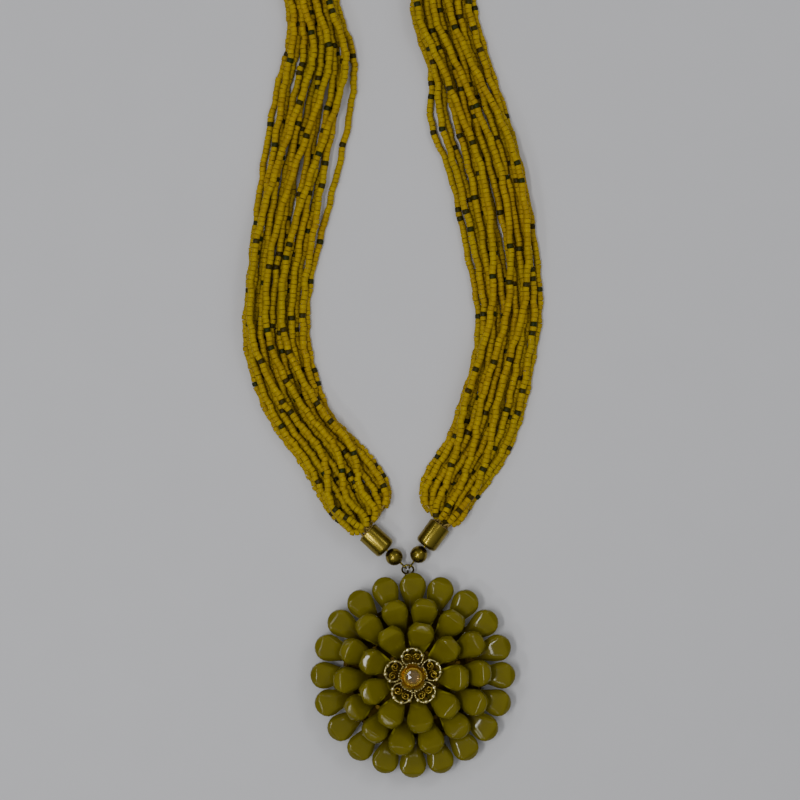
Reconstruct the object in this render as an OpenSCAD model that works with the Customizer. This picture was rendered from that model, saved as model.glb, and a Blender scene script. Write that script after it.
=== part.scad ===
// Beaded pendant necklace, lying loose on a flat surface. All sizes are millimetres.
// +Z is up from the surface, +Y points from the pendant towards the neck.
// The origin is the centre of the pendant's flat back.

/* [Strings of beads] */
// Diameter of one string of seed beads
strand_d = 2; // [1.6:0.1:2]
// Height of the upper layer of strings over the lower one
layer_rise = 2.2; // [2.1:0.05:2.4]
// Cross sections along each string
strand_rings = 56; // [50:1:58]

/* [Cord ends and links] */
// Outer diameter of a cord end
cord_end_d = 6.8; // [6.5:0.1:6.8]
// Length of a cord end
cord_end_l = 7.8; // [7:0.1:7.8]
// Wall of a cord end
cord_end_wall = 0.5; // [0.4:0.1:0.6]
// Diameter of a round gold bead
gold_bead_d = 5.2; // [4.8:0.1:5.2]
// Wire of the pins, loops and rings
wire_d = 0.56; // [0.5:0.02:0.6]
// Radius of the centre ring, to the middle of its wire
centre_ring_r = 1.7; // [1.65:0.05:1.75]

/* [Drops] */
// Width of a drop at its round end
drop_w = 8; // [7:0.1:8]
// Thickness of a drop at its round end
drop_t = 4; // [3.4:0.1:4]
// Thickness of a drop at its drill hole
tip_t = 2.1; // [2:0.1:2.4]
// Length of a drop from its drill hole to the middle of its round end
drop_reach = 6.8; // [6.4:0.1:6.8]
// Width of a drop's table at its round end
table_w = 5.8; // [5.4:0.1:6]
// Slope of the facets round the table
facet_slope = 47; // [44:1:49]
// Diameter of a drop's drill hole
drill_d = 1.2; // [1.1:0.05:1.3]

/* [Pendant] */
// Radius of the back plate
plate_r = 21; // [20.8:0.1:21.4]
// Thickness of the back plate
plate_t = 0.7; // [0.6:0.1:0.8]
// Radius of the wire loop that edges each flower petal
petal_r = 3.1; // [2.8:0.1:3.1]
// Tilt of the flower petals
petal_tilt = 28; // [26:1:32]
// Diameter of the centre stone
stone_d = 4.4; // [3.8:0.1:4.4]

/* [Hidden] */
$fn = 48;
step = 0.01;

// Strings 1 to 7 lie on the surface, 8 to 13 lie over the gaps between them, and 14 to 16 cross on top
lower_count = 7;
upper_count = 6;
strand_r = strand_d / 2;
strand_sides = 8;
floor_gap = 0.05;
strand_gap = 0.48;
cross_spacing = 0.26;
cross_sway = 0.2;
cross_rows = 7.3;

// Edges of the whole bundle of strings, seen from above, from the left cord end up to the hidden arc.
// Columns: inner edge x, inner edge y, outer edge x, outer edge y, gap beside the innermost string.
left_edges = [
    [-11.2, 46.7, -17.2, 40.2, 0],
    [-7, 51.5, -20.5, 43.5, 0],
    [-6.8, 57, -25, 47.5, 0],
    [-9.5, 62, -28.5, 53, 0],
    [-13.5, 67, -31.5, 58.5, 0],
    [-18.5, 72, -35.5, 65, 0],
    [-24, 78, -41.5, 73, 0],
    [-27.5, 87, -47, 84, 0],
    [-30.5, 100, -51, 100, 0],
    [-30, 116, -50, 117, 0],
    [-25.5, 135, -48, 136, 1],
    [-20.5, 155, -45, 157, 2],
    [-17, 174, -41.5, 176, 2],
    [-17, 186, -38.5, 187, 1.5],
    [-21, 198, -38, 198, 0],
    [-23.5, 213, -41.5, 210, 0],
    [-29, 230, -48, 226, 0]
];
// The same columns, from the hidden arc down to the right cord end.
right_edges = [
    [6, 231, 25, 226, 0],
    [0.5, 213, 19.5, 210, 0],
    [-0.5, 197, 19.5, 198.5, 0],
    [4.5, 180, 24, 182, 0],
    [4.5, 165, 29, 167, 2],
    [10.5, 149, 33.5, 150.5, 0],
    [15, 128, 37.5, 129, 0],
    [18.5, 109, 39, 110, 0],
    [17.5, 94, 37, 95.5, 0],
    [13.5, 81, 34, 80, 0],
    [10, 71, 29.5, 67, 0],
    [4.5, 62.5, 23.5, 57.5, 0],
    [2, 56.5, 18.8, 51.5, 0],
    [2.6, 51.2, 15.8, 46.8, 0],
    [5.3, 47.9, 12.1, 42.9, 0]
];
// The hidden stretch takes a plain arc round the back of the neck.
arc_x = -14;
arc_y = 258;
arc_inner = 25;
arc_outer = 45;
arc_edges = [for (a = [186:-24:-6]) [
    arc_x + arc_inner * cos(a), arc_y + arc_inner * sin(a),
    arc_x + arc_outer * cos(a), arc_y + arc_outer * sin(a), 0
]];
edges = concat(left_edges, arc_edges, right_edges);
last = len(edges) - 1;

// Near a cord end the strings bunch up, over this many rows of the tables
bunch_rows = 3;
bunch_lift = 2.15;
top_lift = 2.15;

// The pins of both cord ends point at one spot, the middle of the centre ring
join_x = -1.5;
join_y = 31.4;
join_z = cord_end_d / 2;
left_angle = 137;
right_angle = 54;
wire_r = wire_d / 2;
loop_r = 0.85;
loop_at = 1.5;
bead_at = 5.6;
end_at = bead_at + gold_bead_d / 2 + 0.5;
cord_end_r = cord_end_d / 2;
bore_r = cord_end_r - cord_end_wall;
end_wall = 0.6;
end_round = 1.2;
pin_hole_r = wire_r + 0.12;
head_r = 1.4;
head_t = 0.4;
knot_from = end_wall + head_t + 0.3;
knot_out = 0.2;
centre_ring_z = 2.61;
centre_ring_tilt = 36;

// Drop outline: angles of its corners round the fat end and round the drilled tip
fat_angles = [-108:18:108];
tip_angles = [109, 155, 205, 251];
fat_r = drop_w / 2;
tip_r = 1.7;
tip_x = -0.1;
// The neck slopes down from the table to the drill hole between these two distances from the hole
neck_from = 0.4;
neck_to = 4.4;
// Facets above and below: direction of each, and distance of its table edge from the middle of the round end
table_r = table_w / 2;
top_facets = [[0, table_r - 0.4], [107, table_r], [180, drop_reach + 0.6], [253, table_r]];
under_facets = [
    [0, table_r - 0.5], [62, table_r - 0.2], [105, table_r - 0.3],
    [180, drop_reach + 0.6], [255, table_r - 0.3], [298, table_r - 0.2]
];
// Columns: drops, radius of the wire, height of the wire, angle of the first drop
outer_ring = [20, 19.9, 4.05, 90];
middle_ring = [14, 14, 6.3, 80.1];
inner_ring = [9, 7.95, 7.6, 79.5];
// Tilt of each drop of a ring, clockwise from the first
outer_tilts = [4, 5, 3, 4, 5, 4, 3, 5, 4, 4, 3, 5, 4, 3, 5, 4, 4, 3, 5, 4];
middle_tilts = [28, 30, 26, 31, 27, 30, 26, 29, 36, 41, 27, 33, 28, 30];
inner_tilts = [39, 37, 38, 37, 39, 38, 41, 39, 37];

// Back plate, the posts that hold the wires, and the hanging loop
post_count = 5;
post_r = 0.6;
post_over = 0.65;
wire_gap = 0.12;
boss_r = 2;
boss_top = 8.35;
rivet_r = 0.75;
rivet_head_r = 1.3;
rivet_head_t = 0.3;
hang_x = join_x;
hang_y = 30;
hang_z = 1.55;
hang_r = 0.9;
arm_w = 1.8;

// Flower: a flat hub with five petals, and a cup for the stone riveted over it
petal_count = 5;
petal_at = 5.8;
petal_wire_r = 0.28;
petal_turn = 92;
hub_r = 3.6;
hub_z = boss_top + 0.1;
hub_t = 0.6;
cup_z = hub_z + hub_t + 0.1;
cup_t = 0.5;
cup_r = 4.3;
cup_h = 2.4;
cup_floor_r = 2;
collet_r = 2.75;
seat_r = 1.9;
seat_h = 0.9;
collet_h = 1.7;
stone_r = stone_d / 2;

function smooth(x) = let (c = max(0, min(1, x))) c * c * (3 - 2 * c);
function bunch(t) = 1 - smooth(min(t, last - t) / bunch_rows);

// A smooth curve through the rows of the edge tables
function edge_row(i) = edges[max(0, min(last, i))];
function curve(a, b, c, d, f) =
    0.5 * (2 * b + (c - a) * f + (2 * a - 5 * b + 4 * c - d) * f * f + (3 * b - a - 3 * c + d) * f * f * f);
function edges_at(t) =
    let (i = min(floor(t), last - 1))
    curve(edge_row(i - 1), edge_row(i), edge_row(i + 1), edge_row(i + 2), t - i);

// Place of a string across the bundle, 0 at the inner edge and 1 at the outer edge
function lower_share(i) = i / (lower_count - 1);
function upper_share(i, b) = (1 - b) * (i + 0.5) / upper_count + b * i / (upper_count - 1);
function cross_share(i, t) =
    0.5 + cross_spacing * (i - 1) + cross_sway * (1 - bunch(t)) * sin(360 * t / cross_rows);
function plain_share(layer, i, t) =
    layer == 0 ? lower_share(i) : layer == 1 ? upper_share(i, bunch(t)) : cross_share(i, t);

// Sideways wander of a string, as wide as the room between its neighbours allows
function wander(i, layer, t, room) =
    max(0, 0.5 * (room - strand_d - strand_gap)) * (1 - bunch(t))
    * sin(360 * t / (layer == 0 ? 4.6 : 5.3) + 109 * i + 57 * layer);

// Height of a string over one that lies on the surface
function string_lift(layer, i, t) =
    layer > 0 ? layer * layer_rise + top_lift * bunch(t) : i % 2 == 1 ? bunch_lift * bunch(t) : 0;

// Middle of string i of a layer at row t of the tables
function string_point(layer, i, t) =
    let (
        e = edges_at(t),
        inner = [e[0], e[1]],
        outer = [e[2], e[3]],
        width = norm(outer - inner),
        room = (width - strand_d) / (lower_count - 1),
        straight = layer == 2 || (layer == 0 && (i == 0 || i == lower_count - 1)),
        plain = plain_share(layer, i, t),
        share = layer == 0 && i == 0 ? plain : plain + e[4] / width * (1 - plain),
        sway = straight ? 0 : wander(i, layer, t, room),
        p = inner + (outer - inner) / width * (strand_r + (width - strand_d) * share + sway),
        lift = string_lift(layer, i, t)
    )
    [p[0], p[1], strand_r + floor_gap + lift];

// Row of the tables at which a string's beads begin
function string_start(layer, i) =
    layer == 0 ? 0.18 + 0.72 * pow(2 * lower_share(i) - 1, 2) : layer == 2 ? 0.8 : i % 2 == 0 ? 1.35 : 0.65;

function string_points(layer, i) =
    let (s = string_start(layer, i))
    [for (k = [0:strand_rings - 1]) string_point(layer, i, s + (last - 2 * s) * k / (strand_rings - 1))];

// Cross section of a tube round point k of a path
function tube_ring(path, k) =
    let (
        ahead = path[min(k + 1, len(path) - 1)] - path[max(k - 1, 0)],
        side = cross(ahead, [0, 0, 1]) / norm(cross(ahead, [0, 0, 1])),
        up = cross(side, ahead) / norm(ahead)
    )
    [for (j = [0:strand_sides - 1])
        let (a = 360 * (j + 0.5) / strand_sides)
        path[k] + strand_r * (cos(a) * side + sin(a) * up)];

module tube(path) {
    n = strand_sides;
    ends = len(path) - 1;
    points = [for (k = [0:ends]) each tube_ring(path, k)];
    walls = [for (k = [0:ends - 1], j = [0:n - 1])
        let (a = k * n + j, b = k * n + (j + 1) % n)
        each [[a, b, b + n], [a, b + n, a + n]]];
    first_cap = [for (j = [n - 1:-1:0]) j];
    last_cap = [for (j = [0:n - 1]) ends * n + j];
    polyhedron(points, concat([first_cap], walls, [last_cap]));
}

module strand(number) {
    layer = number <= lower_count ? 0 : number <= lower_count + upper_count ? 1 : 2;
    i = number - 1 - (layer == 0 ? 0 : layer == 1 ? lower_count : lower_count + upper_count);
    color("goldenrod") tube(string_points(layer, i));
}

// A ring of round wire in the XY plane
module wire_ring(radius, wire) {
    rotate_extrude() translate([radius, 0]) circle(wire);
}

// Puts a piece on the line from the join to a cord end, with its Z along that line
module on_line(angle, distance) {
    translate([join_x, join_y, join_z])
        rotate([0, 0, angle])
            translate([distance, 0, 0])
                rotate([0, 90, 0])
                    children();
}

module cord_end(angle) {
    color("gold") on_line(angle, end_at) difference() {
        rotate_extrude() {
            translate([0, end_round]) square([cord_end_r, cord_end_l - end_round]);
            square([cord_end_r - end_round, end_round + step]);
            intersection() {
                translate([cord_end_r - end_round, end_round]) circle(end_round);
                square(cord_end_r);
            }
        }
        translate([0, 0, end_wall]) cylinder(r = bore_r, h = cord_end_l);
        translate([0, 0, -1]) cylinder(r = pin_hole_r, h = end_wall + 2);
    }
}

// The gathered threads, knotted and glued in the cord end
module thread_knot(angle) {
    color("khaki") on_line(angle, end_at + knot_from)
        cylinder(r = bore_r - 0.1, h = cord_end_l - knot_from + knot_out);
}

module eye_pin(angle) {
    color("gold") {
        on_line(angle, loop_at + loop_r)
            cylinder(r = wire_r, h = end_at + end_wall + head_t / 2 - loop_at - loop_r + 0.1);
        on_line(angle, end_at + end_wall + 0.1) cylinder(r = head_r, h = head_t);
        on_line(angle, loop_at) rotate([90, 0, 0]) wire_ring(loop_r, wire_r);
    }
}

module gold_bead(angle) {
    color("gold") on_line(angle, bead_at) difference() {
        sphere(d = gold_bead_d);
        translate([0, 0, -gold_bead_d]) cylinder(r = pin_hole_r, h = 2 * gold_bead_d);
    }
}

module centre_ring() {
    color("gold")
        translate([join_x, join_y, centre_ring_z])
            rotate([centre_ring_tilt, 0, 0])
                wire_ring(centre_ring_r, wire_r);
}

// Outline of a drop from above
function drop_outline() = concat(
    [for (a = fat_angles) [drop_reach + fat_r * cos(a), fat_r * sin(a)]],
    [for (a = tip_angles) [tip_x + tip_r * cos(a), tip_r * sin(a)]]
);

// Where the edges of facets f and g meet, when both edges are moved out by spread
function facet_corner(f, g, spread) =
    let (a = f[0], b = g[0], d = f[1] + spread, e = g[1] + spread)
    [drop_reach + (d * sin(b) - e * sin(a)) / sin(b - a), (e * cos(a) - d * cos(b)) / sin(b - a)];

// Outline of a drop from the side
function drop_side() = let (long = drop_reach + drop_w, tip = tip_t / 2, fat = drop_t / 2) [
    [-2 * tip_r, tip], [neck_from, tip], [neck_to, fat], [long, fat],
    [long, -fat], [neck_to, -fat], [neck_from, -tip], [-2 * tip_r, -tip]
];

// A block with the table on top, which widens downwards between the facets
module facet_block(facets) {
    n = len(facets);
    rows = [[-drop_t, 1.5 * drop_t / tan(facet_slope)], [drop_t / 2, 0]];
    points = [for (row = rows, j = [0:n - 1])
        let (c = facet_corner(facets[j], facets[(j + 1) % n], row[1])) [c[0], c[1], row[0]]];
    under = [for (j = [0:n - 1]) j];
    table = [for (j = [n - 1:-1:0]) n + j];
    sides = [for (j = [0:n - 1]) [j, n + j, n + (j + 1) % n, (j + 1) % n]];
    polyhedron(points, concat([under], sides, [table]));
}

// A flat faceted drop with a table on both sides and a thinner neck, drilled across its tip along Y
module drop() {
    difference() {
        intersection() {
            translate([0, 0, -drop_t / 2]) linear_extrude(drop_t) polygon(drop_outline());
            translate([0, drop_w, 0]) rotate([90, 0, 0]) linear_extrude(2 * drop_w) polygon(drop_side());
            facet_block(top_facets);
            mirror([0, 0, 1]) facet_block(under_facets);
        }
        rotate([90, 0, 0]) cylinder(d = drill_d, h = drop_w, center = true);
    }
}

// A ring of drops on their wire, each tilted a little more or less than the next
module drop_ring(ring, tilts) {
    for (k = [0:ring[0] - 1])
        color("olive")
            rotate([0, 0, ring[3] - 360 * k / ring[0]])
                translate([ring[1] - tip_r * tip_r / (4 * ring[1]), 0, ring[2]])
                    rotate([0, -tilts[k], 0])
                        drop();
}

module drop_wire(ring) {
    color("gold") translate([0, 0, ring[2]]) wire_ring(ring[1], wire_r);
}

// Drilled posts on the back plate, each between two drops of a ring
module wire_posts(ring) {
    pitch = 360 / ring[0];
    for (k = [0:post_count - 1]) {
        slot = floor(k * ring[0] / post_count);
        rotate([0, 0, ring[3] - pitch * (slot + 0.5)]) translate([ring[1], 0, 0]) difference() {
            cylinder(r = post_r, h = ring[2] + post_over);
            translate([0, 0, ring[2]]) rotate([90, 0, 0])
                cylinder(r = wire_r + wire_gap, h = 4 * post_r, center = true);
        }
    }
}

module pendant_base() {
    color("darkgoldenrod") {
        cylinder(r = plate_r, h = plate_t);
        wire_posts(outer_ring);
        wire_posts(middle_ring);
        wire_posts(inner_ring);
        cylinder(r = boss_r, h = boss_top);
        cylinder(r = rivet_r, h = cup_z + cup_t + 0.2);
        translate([0, 0, cup_z + cup_t + 0.1]) cylinder(r = rivet_head_r, h = rivet_head_t);
        translate([hang_x - arm_w / 2, plate_r - 2, 0]) cube([arm_w, hang_y - plate_r + 2, plate_t]);
        translate([hang_x, hang_y, hang_z]) rotate([0, 90, 0]) wire_ring(hang_r, wire_r);
    }
}

module flower_cap() {
    color("gold") difference() {
        union() {
            translate([0, 0, hub_z]) cylinder(r = hub_r, h = hub_t);
            for (k = [0:petal_count - 1])
                rotate([0, 0, petal_turn - 360 * k / petal_count])
                    translate([petal_at, 0, hub_z + hub_t / 2 + petal_r * sin(petal_tilt)])
                        rotate([0, -petal_tilt, 0])
                            wire_ring(petal_r, petal_wire_r);
        }
        translate([0, 0, hub_z - 1]) cylinder(r = rivet_r + 0.12, h = hub_t + 2);
    }
}

// A flared cup cut into five petals, with the collet of the stone standing in it
module stone_cup() {
    color("gold") translate([0, 0, cup_z]) difference() {
        union() {
            difference() {
                rotate_extrude() polygon([
                    [0, 0], [cup_floor_r, 0], [cup_r, cup_h - cup_t], [cup_r, cup_h],
                    [cup_floor_r, cup_t], [0, cup_t]
                ]);
                for (k = [0:petal_count - 1])
                    rotate([0, 0, petal_turn + 360 * (k + 0.5) / petal_count])
                        translate([cup_r, 0, -1])
                            cylinder(r = 0.9, h = cup_h + 2);
            }
            cylinder(r = collet_r, h = collet_h);
        }
        translate([0, 0, cup_t]) cylinder(r = seat_r, h = cup_h);
        translate([0, 0, seat_h]) cylinder(r = stone_r + 0.1, h = cup_h);
        translate([0, 0, -1]) cylinder(r = rivet_r + 0.12, h = 3);
    }
}

// A round cut stone: eight sides below, a table of eight corners and sixteen crown facets above
module centre_stone() {
    n = 8;
    base = [for (j = [0:n - 1]) [0.8 * stone_r * cos(45 * j), 0.8 * stone_r * sin(45 * j), 0]];
    girdle = [for (j = [0:n - 1]) [stone_r * cos(45 * j), stone_r * sin(45 * j), 0.5]];
    rim = [for (j = [0:n - 1]) [stone_r * cos(45 * j), stone_r * sin(45 * j), 0.7]];
    table_corner = 0.58 * stone_r;
    table = [for (j = [0:n - 1]) let (a = 45 * j + 22.5) [table_corner * cos(a), table_corner * sin(a), 1.6]];
    sides = [for (k = [0:1], j = [0:n - 1])
        [k * n + j, (k + 1) * n + j, (k + 1) * n + (j + 1) % n, k * n + (j + 1) % n]];
    crown = [for (j = [0:n - 1])
        let (a = 2 * n + j, b = 2 * n + (j + 1) % n, c = 3 * n + j, d = 3 * n + (j + 1) % n)
        each [[a, c, b], [b, c, d]]];
    under = [for (j = [0:n - 1]) j];
    top = [for (j = [n - 1:-1:0]) 3 * n + j];
    color("moccasin")
        translate([0, 0, cup_z + seat_h + 0.1])
            polyhedron(concat(base, girdle, rim, table), concat([under], sides, crown, [top]));
}

strand(1);  // strand_1
strand(2);  // strand_2
strand(3);  // strand_3
strand(4);  // strand_4
strand(5);  // strand_5
strand(6);  // strand_6
strand(7);  // strand_7
strand(8);  // strand_8
strand(9);  // strand_9
strand(10);  // strand_10
strand(11);  // strand_11
strand(12);  // strand_12
strand(13);  // strand_13
strand(14);  // strand_14
strand(15);  // strand_15
strand(16);  // strand_16
cord_end(left_angle);  // cord_end_left
cord_end(right_angle);  // cord_end_right
thread_knot(left_angle);  // thread_knot_left
thread_knot(right_angle);  // thread_knot_right
eye_pin(left_angle);  // eye_pin_left
eye_pin(right_angle);  // eye_pin_right
gold_bead(left_angle);  // gold_bead_left
gold_bead(right_angle);  // gold_bead_right
centre_ring();
pendant_base();
drop_wire(outer_ring);  // outer_wire
drop_wire(middle_ring);  // middle_wire
drop_wire(inner_ring);  // inner_wire
drop_ring(outer_ring, outer_tilts);  // outer_drops
drop_ring(middle_ring, middle_tilts);  // middle_drops
drop_ring(inner_ring, inner_tilts);  // inner_drops
flower_cap();
stone_cup();
centre_stone();
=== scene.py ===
"""Looks of a lying beaded pendant necklace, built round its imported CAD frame.

Lengths in the tables are in millimetres, in the frame of the CAD, and become metres with MM.
"""
import math

import bmesh
import bpy
from bpy.props import FloatProperty, FloatVectorProperty, IntProperty, PointerProperty
from mathutils import Matrix, Vector


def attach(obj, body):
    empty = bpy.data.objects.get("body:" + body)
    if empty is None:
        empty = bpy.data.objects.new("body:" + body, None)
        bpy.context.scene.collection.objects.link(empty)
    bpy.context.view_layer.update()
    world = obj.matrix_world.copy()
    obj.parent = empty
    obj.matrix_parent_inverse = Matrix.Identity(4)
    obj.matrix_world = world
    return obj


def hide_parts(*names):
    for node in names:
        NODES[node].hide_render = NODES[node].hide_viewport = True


bl_info = {
    "name": "Beaded pendant necklace",
    "version": (1, 0, 0),
    "blender": (4, 5, 0),
    "location": "View3D > Sidebar > Necklace",
    "description": "Makes the bead strings, drops, flower and fittings of a pendant necklace",
    "category": "Object",
}

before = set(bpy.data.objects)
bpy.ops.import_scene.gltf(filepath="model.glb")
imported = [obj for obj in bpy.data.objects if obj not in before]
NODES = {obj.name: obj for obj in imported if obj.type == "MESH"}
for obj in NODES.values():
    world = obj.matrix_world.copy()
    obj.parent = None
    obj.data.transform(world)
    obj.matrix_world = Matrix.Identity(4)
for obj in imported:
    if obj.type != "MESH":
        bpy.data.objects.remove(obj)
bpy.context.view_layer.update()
BODY = "root"
MM = 0.001
UP = Vector((0, 0, 1))

# Route of the strings, as in the CAD: edges of the bundle seen from above.
# Columns: inner edge x, y, outer edge x, y, gap beside the innermost string.
LEFT_EDGES = [
    (-11.2, 46.7, -17.2, 40.2, 0), (-7, 51.5, -20.5, 43.5, 0), (-6.8, 57, -25, 47.5, 0),
    (-9.5, 62, -28.5, 53, 0), (-13.5, 67, -31.5, 58.5, 0), (-18.5, 72, -35.5, 65, 0),
    (-24, 78, -41.5, 73, 0), (-27.5, 87, -47, 84, 0), (-30.5, 100, -51, 100, 0),
    (-30, 116, -50, 117, 0), (-25.5, 135, -48, 136, 1), (-20.5, 155, -45, 157, 2),
    (-17, 174, -41.5, 176, 2), (-17, 186, -38.5, 187, 1.5), (-21, 198, -38, 198, 0),
    (-23.5, 213, -41.5, 210, 0), (-29, 230, -48, 226, 0),
]
RIGHT_EDGES = [
    (6, 231, 25, 226, 0), (0.5, 213, 19.5, 210, 0), (-0.5, 197, 19.5, 198.5, 0),
    (4.5, 180, 24, 182, 0), (4.5, 165, 29, 167, 2), (10.5, 149, 33.5, 150.5, 0),
    (15, 128, 37.5, 129, 0), (18.5, 109, 39, 110, 0), (17.5, 94, 37, 95.5, 0),
    (13.5, 81, 34, 80, 0), (10, 71, 29.5, 67, 0), (4.5, 62.5, 23.5, 57.5, 0),
    (2, 56.5, 18.8, 51.5, 0), (2.6, 51.2, 15.8, 46.8, 0), (5.3, 47.9, 12.1, 42.9, 0),
]
ARC_CENTRE = (-14, 258)
ARC_INNER, ARC_OUTER = 25, 45
ARC_ANGLES = range(186, -7, -24)
LOWER, UPPER, CROSSING = 7, 6, 3
STRING_D, STRING_GAP, FLOOR_GAP = 2.0, 0.48, 0.05
LAYER_RISE, TOP_LIFT, BUNCH_LIFT, BUNCH_ROWS = 2.2, 2.15, 2.15, 3
CROSS_SPACING, CROSS_SWAY, CROSS_ROWS = 0.26, 0.2, 7.3

# Sideways waves of the lower and upper strings: rows of the tables in a wave, and the degrees
# that it is ahead of the wave of the next string and of the next layer
WAVE_ROWS, STRING_TURN, LAYER_TURN = (4.6, 5.3), 109, 57

# Rows of the tables from the cord ends to the strings' own ends
LOWER_START, LOWER_START_SPREAD, UPPER_STARTS, CROSS_START = 0.18, 0.72, (1.35, 0.65), 0.8

# Kinks of the strings, not in the CAD: size, and waves in a row of the tables times 2 pi
SLOW_KINK, SLOW_WAVES = 0.17, 10.3
FAST_KINK, FAST_WAVES, FAST_DRIFT = 0.12, 18.7, 3.1

# The line of each cord end, from the join to its mouth
JOIN = Vector((-1.5, 31.4, 3.4))
LINES = {"left": 137, "right": 54}
BEAD_AT, END_AT = 5.6, 8.7
END_R, BORE_R, END_L, END_WALL = 3.4, 2.9, 7.8, 0.6
END_ROUND, RIM_ROUND = 1.2, 0.12
ROUND_BEAD_R, PIN_HOLE_R = 2.6, 0.4

# The knot in a cord end: how far it stands out, the radius that the threads leave it over, and
# the turn in radians from thread to thread
KNOT_OUT, KNOT_SPREAD, KNOT_TURN = 0.2, 2.2, 2.4
MOUTH_AT = END_AT + END_L + KNOT_OUT

# Strings near a cord end: points looked at, points from bead to bead, length from point to point,
# least distance from string to string, and bare length over the mouth
END_POINTS, BEAD_POINTS, TAIL_STEP, CLOSEST, BARE = 90, 4, 0.34, 1.72, 0.9

# Distance of the drops' wide ends from the middle of the pendant, where the painted shade of a
# neck starts inside of that, and over what length it deepens
HEADS = {"outer": 26.7, "middle": 20, "inner": 13.3}
NECK_FROM, NECK_FADE = 2.4, 5

# The flower
PETALS, PETAL_TURN, PETAL_AT, PETAL_R, PETAL_TILT = 5, 92, 5.8, 3.1, 28
HUB_Z, CUP_R, CUP_TOP = 8.75, 4.3, 11.55
COLLET_R, COLLET_TOP, CIRCLE_STEPS = 2.53, 10.85, 48

# Rows of grains, in degrees from the outer end of a petal or leaf: half the row round a petal's
# end and round a leaf's, and the starts and the length of the rows along a petal's sides
END_HALF, LEAF_HALF, SIDE_STARTS, SIDE_LENGTH = 76, 23, (84, -140), 56

# The stone: radius and height of each row of corners over its seat
STONE_Z, STONE_SIDES = 10.15, 8
STONE_ROWS = [(0.52, 1.6), (1.35, 1.48), (2.0, 1.2), (2.2, 0.9), (2.2, 0.6), (1.76, 0.02)]

# The stage: middle of the view, aim of the lamps, and size and depth of the floor
VIEW_CENTRE, LAMP_TARGET = Vector((-3.84, 82.1, 0)), Vector((-2, 20, 0))
FLOOR_HALF, FLOOR_Z = 1500, -0.02


def polar(radius, angle):
    """x and y of a point at a distance and an angle in radians."""
    return radius * math.cos(angle), radius * math.sin(angle)


def edge_rows():
    """Rows of the left side, of the plain arc behind the neck and of the right side."""
    cx, cy = ARC_CENTRE
    arc = []
    for angle in ARC_ANGLES:
        (x0, y0), (x1, y1) = (polar(r, math.radians(angle)) for r in (ARC_INNER, ARC_OUTER))
        arc.append((cx + x0, cy + y0, cx + x1, cy + y1, 0))
    return LEFT_EDGES + arc + RIGHT_EDGES


EDGES = edge_rows()
LAST = len(EDGES) - 1


def smooth(x):
    x = max(0.0, min(1.0, x))
    return x * x * (3 - 2 * x)


def bunch(t):
    """1 where the strings meet at a cord end, 0 where they lie free."""
    return 1 - smooth(min(t, LAST - t) / BUNCH_ROWS)


def edges_at(t):
    """The bundle's edges at row t, on a smooth curve through the rows."""
    i = min(int(math.floor(t)), LAST - 1)
    f = t - i
    rows = [EDGES[max(0, min(LAST, k))] for k in (i - 1, i, i + 1, i + 2)]
    return [
        0.5 * (
            2 * b + (c - a) * f + (2 * a - 5 * b + 4 * c - d) * f * f
            + (3 * b - a - 3 * c + d) * f ** 3
        )
        for a, b, c, d in zip(*rows)
    ]


def plain_share(layer, i, t):
    """Place of a string across the bundle, 0 at the inner edge and 1 at the outer edge."""
    b = bunch(t)
    if layer == 0:
        return i / (LOWER - 1)
    if layer == 1:
        return (1 - b) * (i + 0.5) / UPPER + b * i / (UPPER - 1)
    wave = math.sin(2 * math.pi * t / CROSS_ROWS)
    return 0.5 + CROSS_SPACING * (i - 1) + CROSS_SWAY * (1 - b) * wave


def kinks(layer, i, t):
    """Small unevenness of a real string, in millimetres."""
    phase = 1.9 * i + 2.7 * layer
    slow = math.sin(SLOW_WAVES * t + 3 * phase)
    fast = math.sin(FAST_WAVES * t + 5 * phase + math.sin(FAST_DRIFT * t))
    return (SLOW_KINK * slow + FAST_KINK * fast) * (1 - bunch(t))


def string_point(layer, i, t):
    """Middle of string i of a layer at row t, in millimetres."""
    x0, y0, x1, y1, gap = edges_at(t)
    inner, across = Vector((x0, y0)), Vector((x1 - x0, y1 - y0))
    width = across.length
    b = bunch(t)
    share = plain_share(layer, i, t)
    if not (layer == 0 and i == 0):
        share += gap / width * (1 - share)
    sway = kinks(layer, i, t)
    if layer == 1 or (layer == 0 and 0 < i < LOWER - 1):
        room = (width - STRING_D) / (LOWER - 1)
        wave = math.radians(360 * t / WAVE_ROWS[layer] + STRING_TURN * i + LAYER_TURN * layer)
        sway += max(0.0, 0.5 * (room - STRING_D - STRING_GAP)) * (1 - b) * math.sin(wave)
    p = inner + across / width * (STRING_D / 2 + (width - STRING_D) * share + sway)
    if layer:
        lift = layer * LAYER_RISE + TOP_LIFT * b
    else:
        lift = BUNCH_LIFT * b if i % 2 else 0.0
    return Vector((p.x, p.y, STRING_D / 2 + FLOOR_GAP + lift))


def string_start(layer, i):
    """How many rows from the cord end a string's own route starts."""
    if layer == 0:
        return LOWER_START + LOWER_START_SPREAD * (2 * i / (LOWER - 1) - 1) ** 2
    return UPPER_STARTS[i % 2] if layer == 1 else CROSS_START


def string_path(layer, i, points):
    s = string_start(layer, i)
    return [string_point(layer, i, s + (LAST - 2 * s) * k / (points - 1)) for k in range(points)]


def all_strings():
    """(node name, layer, place in the layer) of every string."""
    number = 0
    for layer, count in enumerate((LOWER, UPPER, CROSSING)):
        for i in range(count):
            number += 1
            yield f"strand_{number}", layer, i


def on_line(side, distance):
    """Puts a piece on a cord end's line, with its Z along that line, in millimetres."""
    return (
        Matrix.Translation(JOIN)
        @ Matrix.Rotation(math.radians(LINES[side]), 4, "Z")
        @ Matrix.Translation((distance, 0, 0))
        @ Matrix.Rotation(math.radians(90), 4, "Y")
    )


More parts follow.
